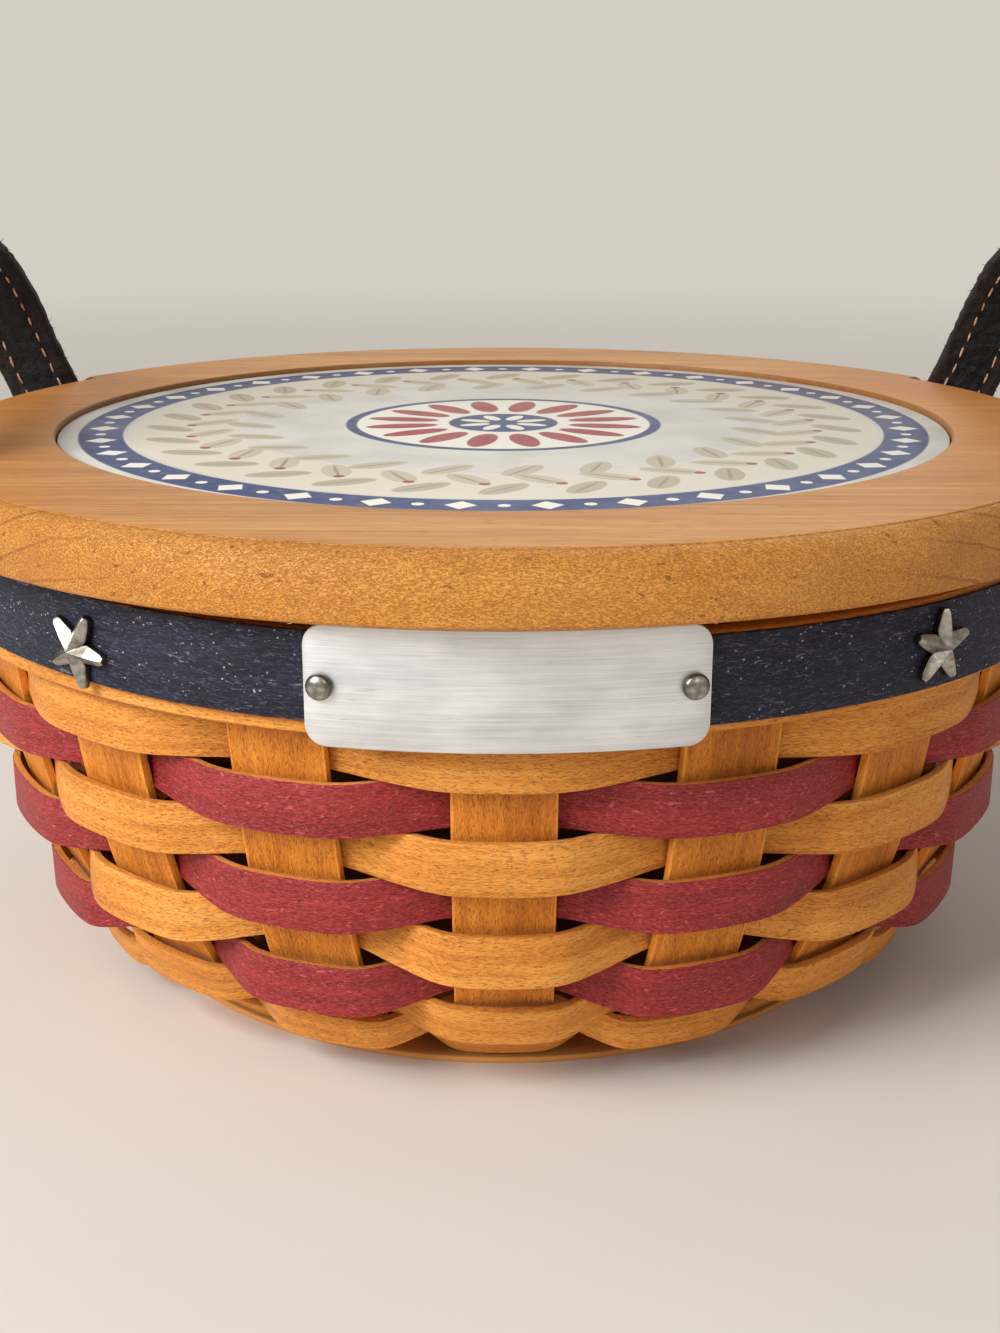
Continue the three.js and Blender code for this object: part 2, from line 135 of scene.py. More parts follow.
# Under the lid the bands and staves end some millimetres below the rim, which leaves a dark slit.
OUTER_BAND_DIP = 3.2
INNER_BAND_DIP = 4.0
STAVE_DIP = 4.4

# The strap's seams and wrinkles, in millimetres.
SEAM_OFFSET = 4.0
SEAM_SINK = 0.3
WRINKLE = 0.32


def srgb(red, green, blue):
    """A display colour of 0 to 255 as Blender's linear colour."""
    def linear(c):
        c /= 255
        return c / 12.92 if c <= 0.04045 else ((c + 0.055) / 1.055) ** 2.4
    return (linear(red), linear(green), linear(blue), 1.0)


class Field:
    """A node's output, with arithmetic that adds math nodes."""

    def __init__(self, shader, socket):
        self.shader = shader
        self.socket = socket

    def math(self, operation, *others):
        return self.shader.math(operation, self, *others)

    def __add__(self, other):
        return self.math("ADD", other)

    def __sub__(self, other):
        return self.math("SUBTRACT", other)

    def __mul__(self, other):
        return self.math("MULTIPLY", other)

    def __truediv__(self, other):
        return self.math("DIVIDE", other)

    def __abs__(self):
        return self.math("ABSOLUTE")


class Shader:
    """A Principled material put together from procedural nodes."""

    def __init__(self, name, gloss=0.5, metallic=0.0):
        self.material = bpy.data.materials.new(name)
        self.material.use_nodes = True
        self.tree = self.material.node_tree
        self.bsdf = self.tree.nodes["Principled BSDF"]
        self.bsdf.inputs["Specular IOR Level"].default_value = gloss
        self.bsdf.inputs["Metallic"].default_value = metallic

    def put(self, socket, value):
        if isinstance(value, Field):
            self.tree.links.new(value.socket, socket)
        else:
            socket.default_value = value

    def node(self, kind, output, inputs, **properties):
        made = self.tree.nodes.new("ShaderNode" + kind)
        for key, value in properties.items():
            setattr(made, key, value)
        for key, value in inputs.items():
            self.put(made.inputs[key], value)
        return Field(self, made.outputs[output])

    def math(self, operation, *values):
        return self.node("Math", 0, dict(enumerate(values)), operation=operation)

    def strip(self):
        """Metres along, across and through a strip."""
        return self.node("Attribute", "Vector", {}, attribute_name="strip")

    def place(self):
        return self.node("TexCoord", "Object", {})

    def parts(self, vector):
        made = self.tree.nodes.new("ShaderNodeSeparateXYZ")
        self.put(made.inputs[0], vector)
        return [Field(self, s) for s in made.outputs]

    def stretched(self, vector, x, y, z):
        return self.node("VectorMath", 0, {0: vector, 1: (x, y, z)}, operation="MULTIPLY")

    def noise(self, vector, scale=1.0, detail=4.0, roughness=0.55, distortion=0.0):
        inputs = {"Vector": vector, "Scale": scale, "Detail": detail, "Roughness": roughness,
                  "Distortion": distortion}
        return self.node("TexNoise", "Fac", inputs)

    def cells(self, vector):
        return self.node("TexVoronoi", "Distance", {"Vector": vector, "Scale": 1.0})

    def drawn(self, vector, x, y, z, detail, **settings):
        """Noise with its own scale on each axis, so that it can be drawn out along one."""
        return self.noise(self.stretched(vector, x, y, z), detail=detail, **settings)

    def mottle(self, vector, along, across):
        """Fine wandering relief: its height, and where it runs dark and where it runs light."""
        height = self.drawn(vector, along, across, across, 3, roughness=0.6, distortion=1.2)
        return height, self.step(height, 0.48, 0.37), self.step(height, 0.54, 0.66)

    def dashes(self, vector, along, across, sparse=0.5):
        """Short fine strokes; close together, or fewer when sparse is higher."""
        field = self.drawn(vector, along, across, across, 2, roughness=0.5, distortion=0.6)
        return self.step(field, sparse, sparse + 0.1)

    def length(self, x, y):
        return (x * x + y * y).math("SQRT")

    def step(self, value, low, high):
        """0 below low, 1 above high, smooth between; falling when low is above high."""
        inputs = {"Value": value, "From Min": low, "From Max": high, "To Min": 0.0, "To Max": 1.0}
        return self.node("MapRange", "Result", inputs, interpolation_type="SMOOTHSTEP")

    def spread(self, value, low, high):
        """Noise, which runs mostly from 0.3 to 0.7, spread from low to high."""
        inputs = {"Value": value, "From Min": 0.3, "From Max": 0.7, "To Min": low, "To Max": high}
        return self.node("MapRange", "Result", inputs)

    def ramp(self, value, reach, dark, middle, pale):
        """A colour that runs from dark to pale for values within reach of 0.5."""
        made = self.tree.nodes.new("ShaderNodeValToRGB")
        self.put(made.inputs[0], value)
        elements = made.color_ramp.elements
        elements.new(0.5)
        for element, offset, colour in zip(elements, (-reach, 0, reach), (dark, middle, pale)):
            element.position = 0.5 + offset
            element.color = colour
        return Field(self, made.outputs[0])

    def mix(self, share, first, second):
        return self.node("Mix", 2, {"Factor": share, 6: first, 7: second}, data_type="RGBA")

    def over(self, colour, *layers):
        """A colour with layers of (share, colour) laid over it in turn."""
        for share, layer in layers:
            colour = self.mix(share, colour, layer)
        return colour

    def finish(self, colour, roughness, height=None, depth=0.0):
        """Joins colour, roughness and a bump height, whose depth is in millimetres."""
        self.put(self.bsdf.inputs["Base Color"], colour)
        self.put(self.bsdf.inputs["Roughness"], roughness)
        if height is not None:
            inputs = {"Height": height, "Strength": 1.0, "Distance": depth * MM}
            self.put(self.bsdf.inputs["Normal"], self.node("Bump", "Normal", inputs))
        return self.material


def shade(colour, share):
    """A colour made darker, or lighter when share is above 1."""
    return tuple(min(1.0, c * share) for c in colour[:3]) + (1.0,)


def splint(name, pale, middle, dark, face=None, gloss=0.25, edge=None):
    """Splint wood with its grain along the strip.

    A face is a dye on the outer side, as dark, middle and pale. An edge is the half width of a strip
    whose edges get a painted highlight, as if light caught them.
    """
    s = Shader(name, gloss)
    strip = s.strip()
    _, across, depth = s.parts(strip)
    grain = s.drawn(strip, 24, 560, 300, 6, roughness=0.62)
    cloud = s.drawn(strip, 20, 60, 20, 3)
    relief, hollows, crests = s.mottle(strip, 700, 3000)
    lines = s.dashes(strip, 900, 4200, 0.57)
    pores = s.dashes(strip, 700, 3300, 0.63)
    tone = grain * 0.75 + cloud * 0.6 - 0.18
    colour = s.ramp(tone, 0.2, dark, middle, pale)
    colour = s.over(colour, (hollows * 0.25, shade(dark, 0.85)), (crests * 0.4, shade(pale, 1.2)),
                    (lines * 0.5, shade(dark, 0.65)), (pores * 0.5, shade(dark, 0.4)))
    if edge:
        # Painted highlight: the strip's edges are painted paler, as if light caught their bevels.
        rim = s.step(abs(across), (edge - 0.5) * MM, (edge - 0.2) * MM)
        colour = s.mix(rim * 0.6, colour, shade(pale, 1.3))
    if face:
        dark_dye, dye, pale_dye = face
        outside = s.step(depth, 0.5 * MM, 0.66 * MM)
        strokes = s.dashes(strip, 1200, 3800)
        specks = s.step(s.drawn(strip, 700, 1500, 700, 1), 0.68, 0.74)
        dyed = s.mix(s.step(tone, 0.3, 0.7), dark_dye, dye)
        dyed = s.over(dyed, (hollows * 0.45, shade(dark_dye, 0.6)), (crests * 0.3, pale_dye),
                      (lines * 0.5, shade(dark_dye, 0.55)), (strokes * 0.22, shade(pale_dye, 1.1)),
                      (specks * 0.4, shade(pale_dye, 1.4)))
        colour = s.mix(outside, colour, dyed)
    height = grain * 0.5 + relief * 0.8 + lines * -0.4 + pores * -0.4
    return s.finish(colour, s.spread(grain, 0.42, 0.6), height, depth=0.22)


natural_splint = splint("natural splint", srgb(236, 168, 87), srgb(220, 145, 61), srgb(186, 112, 41))
stave_splint = splint("stave splint", srgb(229, 151, 60), srgb(210, 128, 45), srgb(172, 98, 31),
                      edge=STAVE_WIDTH / 2)
red_splint = splint("red splint", srgb(232, 166, 92), srgb(214, 142, 66), srgb(172, 106, 44),
                    (srgb(126, 26, 33), srgb(160, 42, 47), srgb(204, 100, 98)), gloss=0.32)


def trim_paint():
    """Navy paint on a splint: fine grain, scratches, pale specks, and wood showing at chipped edges."""
    s = Shader("navy trim paint", gloss=0.2)
    strip = s.strip()
    _, across, _ = s.parts(strip)
    grain = s.drawn(strip, 40, 800, 300, 6, roughness=0.65)
    cloud = s.drawn(strip, 30, 70, 30, 4)
    relief, hollows, crests = s.mottle(strip, 700, 2600)
    scratches = s.step(s.drawn(strip, 500, 1900, 900, 1, distortion=1.5), 0.65, 0.7)
    specks = s.step(s.cells(s.stretched(strip, 760, 960, 700)), 0.17, 0.09)
    sparse = s.step(s.drawn(strip, 160, 260, 100, 2), 0.44, 0.56)
    half = TRIM_HEIGHT / 2
    edge = s.step(abs(across), (half - 0.5) * MM, (half - 0.05) * MM)
    chipped = s.step(s.drawn(strip, 260, 300, 300, 4), 0.5, 0.66)
    tone = s.step(grain * 0.7 + cloud * 0.4, 0.35, 0.75)
    colour = s.mix(tone, srgb(26, 27, 37), srgb(45, 47, 65))
    colour = s.over(colour, (hollows * 0.6, srgb(18, 18, 27)), (crests * 0.3, srgb(104, 108, 136)),
                    (scratches * 0.2, srgb(128, 130, 150)),
                    (scratches * sparse * 0.35, srgb(150, 150, 164)),
                    (specks * sparse * 0.8, srgb(190, 190, 192)), (edge * chipped * 0.6, srgb(140, 96, 56)))
    height = grain * 0.6 + relief * 0.8
    return s.finish(colour, s.spread(grain, 0.5, 0.7), height, depth=0.18)


def lid_maple():
    """Maple with its grain left to right; a rounded edge shows relief, and rings at its two ends. The top
    has painted shade towards its left and right, the recess wall painted shade, and the base's foot painted
    light.
    """
    s = Shader("lid maple", gloss=0.24)
    place = s.place()
    x, y, z = s.parts(place)
    long_grain = s.drawn(place, 9, 190, 190, 7, roughness=0.6)
    streaks = s.drawn(place, 36, 760, 760, 4, roughness=0.7)
    cloud = s.drawn(place, 7, 26, 26, 3)
    pores = s.step(s.drawn(place, 240, 1500, 1500, 2), 0.6, 0.72)
    tone = long_grain * 0.5 + streaks * 0.6 + cloud * 0.35 - 0.22
    # Painted shade: the top is painted darker and deeper in colour towards its left and right, where it
    # catches less sheen.
    sides = s.step(abs(x), 50 * MM, 112 * MM)
    top = s.ramp(tone, 0.16, srgb(170, 113, 58), srgb(192, 136, 76), srgb(209, 157, 99))
    top = s.over(top, (sides * 0.65, srgb(190, 119, 52)), (pores * 0.4, srgb(142, 88, 42)))

    pith_y, pith_z, ring_pitch = 112 * MM, 60 * MM, 5.5 * MM
    ends = s.step(abs(x), 48 * MM, 78 * MM)
    waver = s.drawn(place, 70, 70, 70, 3) * 4
    phase = s.length(abs(y) - pith_y, z - pith_z) * (math.tau / ring_pitch) + waver
    rings = s.step(phase.math("SINE"), 0.93, 1.0)

    relief, hollows, crests = s.mottle(place, 1000, 3400)
    lines = s.dashes(place, 1700, 4600)
    pits = s.step(s.drawn(place, 420, 900, 900, 1), 0.69, 0.75)
    edge_tone = long_grain * 0.6 + cloud * 0.6 - 0.1
    rounded = s.ramp(edge_tone, 0.22, srgb(190, 122, 48), srgb(207, 140, 62), srgb(222, 158, 80))
    rounded = s.over(rounded, (hollows * 0.35, srgb(168, 100, 36)), (crests * 0.3, srgb(240, 184, 106)),
                     (lines * 0.4, srgb(156, 90, 30)), (pits * 0.6, srgb(120, 66, 24)),
                     (rings * ends * 0.6, srgb(150, 88, 34)))

    radius = s.length(x, y)
    edge = s.step(radius, (LID_FLAT_RADIUS - 0.3) * MM, (LID_FLAT_RADIUS + 0.05) * MM)
    # Painted shade: the recess wall is painted dark all round, standing in for the shade it sits in.
    recess_painted_shade = s.step(radius, (RECESS_RADIUS + 0.5) * MM, (RECESS_RADIUS + 0.2) * MM)
    # Painted light: the base's foot, its lowest few millimetres, is painted paler, standing in for light
    # bounced onto it.
    foot = s.step(z, 3.0 * MM, 2.0 * MM)
    colour = s.over(top, (edge, rounded), (recess_painted_shade * 0.7, srgb(112, 70, 38)),
                    (foot * 0.8, srgb(228, 164, 90)))
    roughness = s.spread(long_grain, 0.4, 0.52) - edge * 0.2
    rough_edge = relief * 0.7 + lines * -0.6 + pits * -0.5
    height = streaks * 0.3 + pores * -0.3 + edge * rough_edge
    return s.finish(colour, roughness, height, depth=0.2)


def printed_panel():
    """A pale printed board: a navy border of lozenges and dots, a wreath of leaves and a round rosette."""
    s = Shader("printed panel", gloss=0.2)
    place = s.place()
    x, y, _ = s.parts(place)
    r = s.length(x, y) / (RECESS_RADIUS * MM)
    turn = y.math("ARCTAN2", x) / math.tau

    def petals(count, at, offset=0.0):
        """Local coordinates, as shares of the radius, in each of count cells around a ring."""
        cell = (turn * count + offset).math("FRACT") - 0.5
        return cell * r * (math.tau / count), r - at

    def oval(u, v, wide, tall, lean=0.0):
        cosine, sine = math.cos(lean), math.sin(lean)
        a = (u * cosine + v * sine) / wide
        b = (v * cosine - u * sine) / tall
        return s.step(a * a + b * b, 1.12, 0.88)

    def lozenge(u, v, wide, tall):
        return s.step(abs(u) / wide + abs(v) / tall, 1.06, 0.94)

    def between(low, high):
        soft = 0.003
        return s.step(r, low - soft, low + soft) * s.step(r, high + soft, high - soft)

    mottle = s.drawn(place, 60, 60, 60, 5)
    grime = s.drawn(place, 420, 420, 420, 3)
    ground = s.mix(s.step(mottle, 0.35, 0.65), srgb(198, 194, 184), srgb(211, 207, 197))
    worn = s.step(grime, 0.3, 0.7)
    navy = s.mix(worn, srgb(42, 58, 100), srgb(56, 72, 116))
    red = s.mix(worn, srgb(140, 48, 54), srgb(164, 66, 68))
    pale = srgb(232, 227, 214)

    colour = s.mix(between(0.60, 0.845), ground, srgb(213, 205, 187))
    for count, at, lean, offset, tint in (
        (30, 0.755, 0.7, 0.0, srgb(176, 166, 142)), (30, 0.665, -0.7, 0.5, srgb(190, 180, 156)),
        (24, 0.575, 0.6, 0.25, srgb(184, 174, 152)),
    ):
        u, v = petals(count, at, offset)
        colour = s.over(colour, (oval(u, v, 0.030, 0.066, lean), tint),
                        (oval(u, v, 0.004, 0.056, lean), srgb(150, 140, 116)))
    berries = oval(*petals(30, 0.71, 0.25), 0.012, 0.012)
    lozenges = lozenge(*petals(36, 0.9035), 0.030, 0.034)
    dots = oval(*petals(36, 0.9035, 0.5), 0.012, 0.012)
    outer_petals = oval(*petals(16, 0.235), 0.030, 0.082)
    inner_petals = oval(*petals(8, 0.07), 0.016, 0.036)
    stains = s.step(grime, 0.62, 0.74)
    colour = s.over(colour, (berries, srgb(150, 70, 66)),
                    (between(0.855, 0.952), navy), (lozenges, pale), (dots, pale),
                    (between(-1, 0.36), navy), (between(-1, 0.335), pale), (outer_petals, red),
                    (between(-1, 0.125), navy), (inner_petals, pale), (stains * 0.22, srgb(172, 160, 136)))
    return s.finish(colour, s.spread(mottle, 0.28, 0.42), grime, depth=0.03)


def brushed_metal():
    """Aluminium brushed along its length, with a few scratches."""
    s = Shader("brushed aluminium", metallic=1.0)
    strip = s.strip()
    brush = s.drawn(strip, 60, 5200, 800, 5, roughness=0.7)
    cloud = s.drawn(strip, 60, 110, 60, 4)
    scratch = s.step(s.drawn(strip, 150, 1500, 400, 3), 0.68, 0.74)
    tone = s.step(brush * 0.6 + cloud * 0.5, 0.35, 0.75)
    colour = s.mix(tone, srgb(202, 202, 204), srgb(238, 238, 239))
    colour = s.mix(scratch * 0.35, colour, srgb(150, 150, 152))
    roughness = s.spread(brush * 0.5 + cloud * 0.5, 0.46, 0.6)
    return s.finish(colour, roughness, brush, depth=0.03)


def cast_metal():
    """Pewter, tarnished low down by its seat."""
    s = Shader("cast pewter", metallic=1.0)
    place = s.strip()
    _, _, rise = s.parts(place)
    cast = s.noise(place, scale=900, detail=5, roughness=0.65)
    cloud = s.noise(place, scale=240, detail=3)
    tone = s.step(cast * 0.6 + cloud * 0.5, 0.35, 0.75)
    colour = s.mix(tone, srgb(118, 114, 106), srgb(188, 183, 174))
    tarnish = s.step(rise + cloud * 0.5 * MM, 1.6 * MM, 0.8 * MM)
    colour = s.mix(tarnish * 0.8, colour, srgb(70, 63, 55))
    return s.finish(colour, s.spread(cloud, 0.24, 0.36), cast, depth=0.03)


def split_leather():
    """Black leather: glossy and creased between the seams, with a brown nap outside them."""
    s = Shader("split leather", gloss=0.25)
    strip = s.strip()
    _, across, _ = s.parts(strip)
    off_middle = abs(across)
    nap = s.noise(strip, scale=1500, detail=6, roughness=0.75)
    creases = s.cells(s.stretched(strip, 240, 420, 420))
    cloud = s.noise(strip, scale=240, detail=4, roughness=0.6)
    fleck = s.step(nap * 0.6 + cloud * 0.6, 0.45, 0.85)
    border = s.step(off_middle, (SEAM_OFFSET - 0.9) * MM, (SEAM_OFFSET + 0.3) * MM)
    glossy = s.mix(fleck, srgb(6, 6, 7), srgb(28, 26, 27))
    napped = s.mix(fleck, srgb(13, 10, 9), srgb(60, 46, 40))
    colour = s.mix(border, glossy, napped)
    half = STRAP_WIDTH / 2
    rim = s.step(off_middle, (half - 0.6) * MM, (half - 0.1) * MM)
    colour = s.mix(rim * 0.4, colour, srgb(44, 38, 36))
    roughness = s.spread(cloud * 0.6 + nap * 0.4, 0.24, 0.5) + border * 0.3
    height = nap * 0.6 + creases * 1.1 + cloud * 0.9
    return s.finish(colour, roughness, height, depth=1.0)


def waxed_thread():
    """Pale brown waxed thread."""
    s = Shader("waxed thread", gloss=0.4)
    place = s.strip()
    ply = s.drawn(place, 1500, 3600, 3600, 3)
    colour = s.mix(s.step(ply, 0.35, 0.65), srgb(146, 100, 76), srgb(228, 184, 150))
    return s.finish(colour, s.spread(ply, 0.5, 0.7), ply, depth=0.12)


navy_trim = trim_paint()
maple = lid_maple()
panel_print = printed_panel()
aluminium = brushed_metal()
pewter = cast_metal()
leather = split_leather()
thread = waxed_thread()


def outward(angle):
    """Unit vectors out of the basket at angles from the front, counted towards +X."""
    angle = np.asarray(angle, float)
    return np.stack([np.sin(angle), -np.cos(angle), np.zeros_like(angle)], -1)


def tangent(angle):
    """Unit vectors along the rim, the way that angles grow."""
    return outward(angle + math.pi / 2)


UP = np.array([0.0, 0.0, 1.0])


def add_object(name, data):
    """A new object in the scene."""
    made = bpy.data.objects.new(name, data)
    bpy.context.scene.collection.objects.link(made)
    return made


def add_mesh(name, points, faces, material, body, nodes=(), strip=None, sharp=40):
    """A mesh piece from points in millimetres, riding on a CAD body where one is given."""
    mesh = bpy.data.meshes.new(name)
    mesh.from_pydata((np.asarray(points) * MM).tolist(), [], faces)
    if strip is not None:
        layer = mesh.attributes.new("strip", "FLOAT_VECTOR", "POINT")
        layer.data.foreach_set("vector", (np.asarray(strip, np.float32) * MM).ravel())
    mesh.materials.append(material)
    mesh.validate()
    mesh.shade_smooth()
    mesh.set_sharp_from_angle(angle=math.radians(sharp))
    piece = add_object(name, mesh)
    if body:
        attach(piece, body)
    if nodes:
        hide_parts(*nodes)
    return piece


def rounded_section(half_width, half_thickness, corner, steps=3):
    """Points (across the width, through the thickness) of a rectangle with rounded corners."""
    points = []
    for k, (su, sv) in enumerate([(1, 1), (-1, 1), (-1, -1), (1, -1)]):
        for i in range(steps + 1):
            a = (k + i / steps) * math.pi / 2
            points.append((su * (half_width - corner) + corner * math.cos(a),
                           sv * (half_thickness - corner) + corner * math.sin(a)))
    return np.array(points)


def loft_faces(stations, sides):
    """Faces of a closed tube of sections, capped at both ends."""
    faces = []
    for s in range(stations - 1):
        for k in range(sides):
            m = (k + 1) % sides
            faces.append((s * sides + k, s * sides + m, (s + 1) * sides + m, (s + 1) * sides + k))
    faces.append(tuple(range(sides - 1, -1, -1)))
    faces.append(tuple((stations - 1) * sides + k for k in range(sides)))
    return faces


def run_along(line):
    """How far along a line each of its points lies."""
    return np.concatenate([[0], np.cumsum(np.linalg.norm(np.diff(line, axis=0), axis=1))])


def add_strip(name, centres, ups, acrosses, section, material, body, nodes, start=0.0):
    """A piece whose section is carried along centres; start shifts its grain, so that strips differ."""
    section = np.broadcast_to(section, (len(centres),) + section.shape[-2:])
    points = centres[:, None] + ups[:, None] * section[..., 0:1] + acrosses[:, None] * section[..., 1:2]
    run = run_along(centres) + start
    along = np.broadcast_to(run[:, None, None], section.shape[:2] + (1,))
    strip = np.concatenate([along, section], -1).reshape(-1, 3)
    faces = loft_faces(len(centres), section.shape[1])
    return add_mesh(name, points.reshape(-1, 3), faces, material, body, nodes, strip)


# The wall's middle line as radius, height and lean, by distance below the rim.
_turn = np.linspace(math.asin((RIM_HEIGHT - WALL_CREST) / (WALL_CREST - FOOT_HEIGHT)), -math.pi / 2, 3000)
_wall_r = FOOT_RADIUS + (WALL_RADIUS - FOOT_RADIUS) * np.cos(_turn)
_wall_z = WALL_CREST + (WALL_CREST - FOOT_HEIGHT) * np.sin(_turn)
_wall_drop = run_along(np.stack([_wall_r, _wall_z], -1))
_wall_lean = np.arctan2(-np.gradient(_wall_r), -np.gradient(_wall_z))
WALL_LENGTH = _wall_drop[-1]


def wall_at(drop):
    """Radius, height and lean of the wall a distance below the rim; past the foot it runs level."""
    beyond = np.maximum(0, drop - WALL_LENGTH)
    r, z, lean = (np.interp(drop, _wall_drop, values) for values in (_wall_r, _wall_z, _wall_lean))
    return r - beyond, z, lean


ROW_UNIT = (WALL_LENGTH - ROWS_TOP) / sum(ROW_SHARES)


def row_seat(row):
    """A row's width, its place and lean on the wall, its tilt, and how far a stave pushes it off."""
    share = ROW_SHARES[row - 1]
    drop = ROWS_TOP + ROW_UNIT * (sum(ROW_SHARES[:row - 1]) + share / 2) - ROW_CREEP[row - 1]
    r, z, lean = (float(v) for v in wall_at(drop))
    width = ROW_UNIT * share + ROW_OVERLAP
    raised = lean * ROW_UPRIGHT[row - 1]
    spring = SPRING * math.cos(lean) ** 2
    away = (STAVE_THICKNESS + WEAVER_THICKNESS) / 2 + spring + width / 2 * math.sin(raised)
    return width, r, z, lean, lean - raised, away


def wander(steps, waves):
    """Random values from -1 to 1 at even places, carried along a number of steps."""
    return np.interp(np.linspace(0, waves, steps), np.arange(waves + 1), RNG.uniform(-1, 1, waves + 1))


def around(angle, values):
    """Values given at each stave, carried smoothly round the basket."""
    turns = angle / math.tau * len(values) % len(values)
    return np.interp(turns, np.arange(len(values) + 1), np.append(values, values[0]))


def make_weaver(row):
    """One hoop, out over every second stave: it stays out, then dives behind the next stave."""
    width, r, z, lean, tilt, away = row_seat(row)
    step = math.tau / STAVE_COUNT
    first_over = 0 if row % 2 else 1
    seam = math.pi + first_over * step
    gap = 0.001
    angle = seam + np.linspace(gap, math.tau - gap, STAVE_COUNT * STEPS_PER_STAVE + 1)
    half_stave = STAVE_WIDTH / 2 / r / step
    from_over = np.abs((angle / step - first_over + 1) % 2 - 1)
    swing = (0.5 - from_over) / (0.5 - half_stave) + WAVE_BIAS * np.abs(np.sin(angle))
    wave = swing * (2 / (1 + np.abs(swing) ** WAVE_CORNER)) ** (1 / WAVE_CORNER)
    push = away * wave * around(angle, RNG.uniform(0.96, 1.04, STAVE_COUNT))
    lift = around(angle, RNG.uniform(-0.12, 0.12, STAVE_COUNT))
    out = outward(angle)
    centre = out * (r + push * math.cos(lean))[:, None] + UP * (z + lift - push * math.sin(lean))[:, None]
    ups = out * math.sin(tilt) + UP * math.cos(tilt)
    across = out * math.cos(tilt) - UP * math.sin(tilt)
    section = rounded_section(width / 2, WEAVER_THICKNESS / 2, SPLINT_CORNER)
    is_red = row in RED_ROWS
    material, slot = (red_splint, "red_splint") if is_red else (natural_splint, "natural_splint")
    add_strip(f"weaver_strip_{row}", centre, ups, across, section, material, "basket",
              [f"weaver_{row}"], start=1400.0 * row)


def make_stave(index):
    """One upright splint, cambered, whose foot runs level into the base."""
    tail = WALL_LENGTH + np.array([5.0, 10.0, STAVE_TAIL])
    drop = np.concatenate([np.linspace(STAVE_DIP, WALL_LENGTH, 44), tail])
    r, z, lean = wall_at(drop)
    lean = np.where(drop > WALL_LENGTH, math.pi / 2, lean)
    angle = np.full(len(drop), math.tau * index / STAVE_COUNT)
    out = outward(angle)
    centre = out * r[:, None] + UP * z[:, None]
    across = out * np.cos(lean)[:, None] - UP * np.sin(lean)[:, None]
    flat = rounded_section(STAVE_WIDTH / 2, STAVE_THICKNESS / 2, SPLINT_CORNER)
    section = np.tile(flat, (len(drop), 1, 1))
    section[..., 1] -= STAVE_CAMBER * section[..., 0] ** 2 / (2 * r[:, None])
    number = f"{index + 1:02d}"
    add_strip(f"stave_strip_{number}", centre, tangent(angle), across, section, stave_splint, "basket",
              [f"stave_{number}"], start=300.0 * index)


def make_band(name, inner, outer, low, high, material, slot, node, tilt=0.0, lean=0.0, wobble=0.0):
    """A flat hoop round the rim, butted at the back; lean moves its foot inwards."""
    gap, waves = 0.0008, 24
    angle = math.pi + np.linspace(gap, math.tau - gap, 289)
    middle, half = (low + high) / 2, (high - low) / 2
    out = outward(angle)
    radius = (inner + outer) / 2
    ripple = wobble * wander(len(angle), waves)
    height = middle - np.sin(angle) * radius * math.tan(tilt) + ripple
    centre = out * (radius - lean / 2) + UP * height[:, None]
    slope = math.atan2(lean, high - low)
    ups = out * math.sin(slope) + UP * math.cos(slope)
    across = out * math.cos(slope) - UP * math.sin(slope)
    section = rounded_section(half, (outer - inner) / 2, min(0.4, (outer - inner) * 0.3))
    add_strip(name, centre, ups, across, section, material, "basket", [node], start=900.0)


def even_angles(count):
    return np.arange(count) * math.tau / count


def revolve(profile, angles, radius_limit=None):
    """Points and faces of a solid turned about Z from (radius, height) points.

    The profile starts and ends on flat discs, and the limit clips the radius by angle.
    """
    profile = np.asarray(profile, float)
    radius = np.broadcast_to(profile[:, 0], (len(angles), len(profile)))
    if radius_limit is not None:
        radius = np.minimum(radius, radius_limit(angles)[:, None])
    height = np.broadcast_to(profile[:, 1], radius.shape)
    points = outward(angles)[:, None] * radius[..., None] + UP * height[..., None]
    n, m = len(angles), len(profile)
    faces = []
    for i in range(n):
        j = (i + 1) % n
        for k in range(m - 1):
            faces.append((i * m + k, j * m + k, j * m + k + 1, i * m + k + 1))
    faces.append(tuple(i * m for i in range(n - 1, -1, -1)))
    faces.append(tuple(i * m + m - 1 for i in range(n)))
    return points.reshape(-1, 3), faces


def add_turned(name, profile, material, body, node, angles=even_angles(240), radius_limit=None,
               sharp=40):
    points, faces = revolve(profile, angles, radius_limit)
    add_mesh(name, points, faces, material, body, [node], sharp=sharp)


def arc_points(centre_r, centre_z, rr, rz, start, stop, steps):
    """Profile points on part of an ellipse."""
    a = np.linspace(start, stop, steps + 1)
    return list(zip(centre_r + rr * np.cos(a), centre_z + rz * np.sin(a)))


def lid_profile():
    """The lid board from the middle of its foot round to its recess; its overhang is cut back a little."""
    core, seat_edge, top_ring, floor_ring = 4.0, 101.0, 100.0, 60.0
    relief, under, crease, lip = 0.1, 0.9, 0.25, 0.5
    nose = LID_FOOT + relief + under
    floor = PANEL_TOP - PANEL_THICKNESS - FIT_GAP
    return ([(core, LID_FOOT), (seat_edge, LID_FOOT), (seat_edge + 1.0, LID_FOOT + relief)]
            + arc_points(LID_RADIUS - under, nose, under, under, -math.pi / 2, 0, 8)
            + arc_points(LID_FLAT_RADIUS, nose, LID_RADIUS - LID_FLAT_RADIUS, LID_TOP - crease - nose,
                         0, math.pi / 2, 16)[1:]
            + arc_points(LID_FLAT_RADIUS - crease, LID_TOP - crease, crease, crease, 0.3, math.pi / 2, 3)
            + [(top_ring, LID_TOP)]
            + arc_points(RECESS_RADIUS + lip, LID_TOP - lip, lip, lip, math.pi / 2, math.pi, 4)
            + [(RECESS_RADIUS, floor), (floor_ring, floor), (core, floor)])


def notch_limit(angles):
    """The lid's radius at each angle where a handle's notch cuts it, and no limit elsewhere."""
    from_side = np.abs(angles % math.pi - math.pi / 2)
    return np.where(from_side < NOTCH_HALF_ANGLE, NOTCH_RADIUS, np.inf)


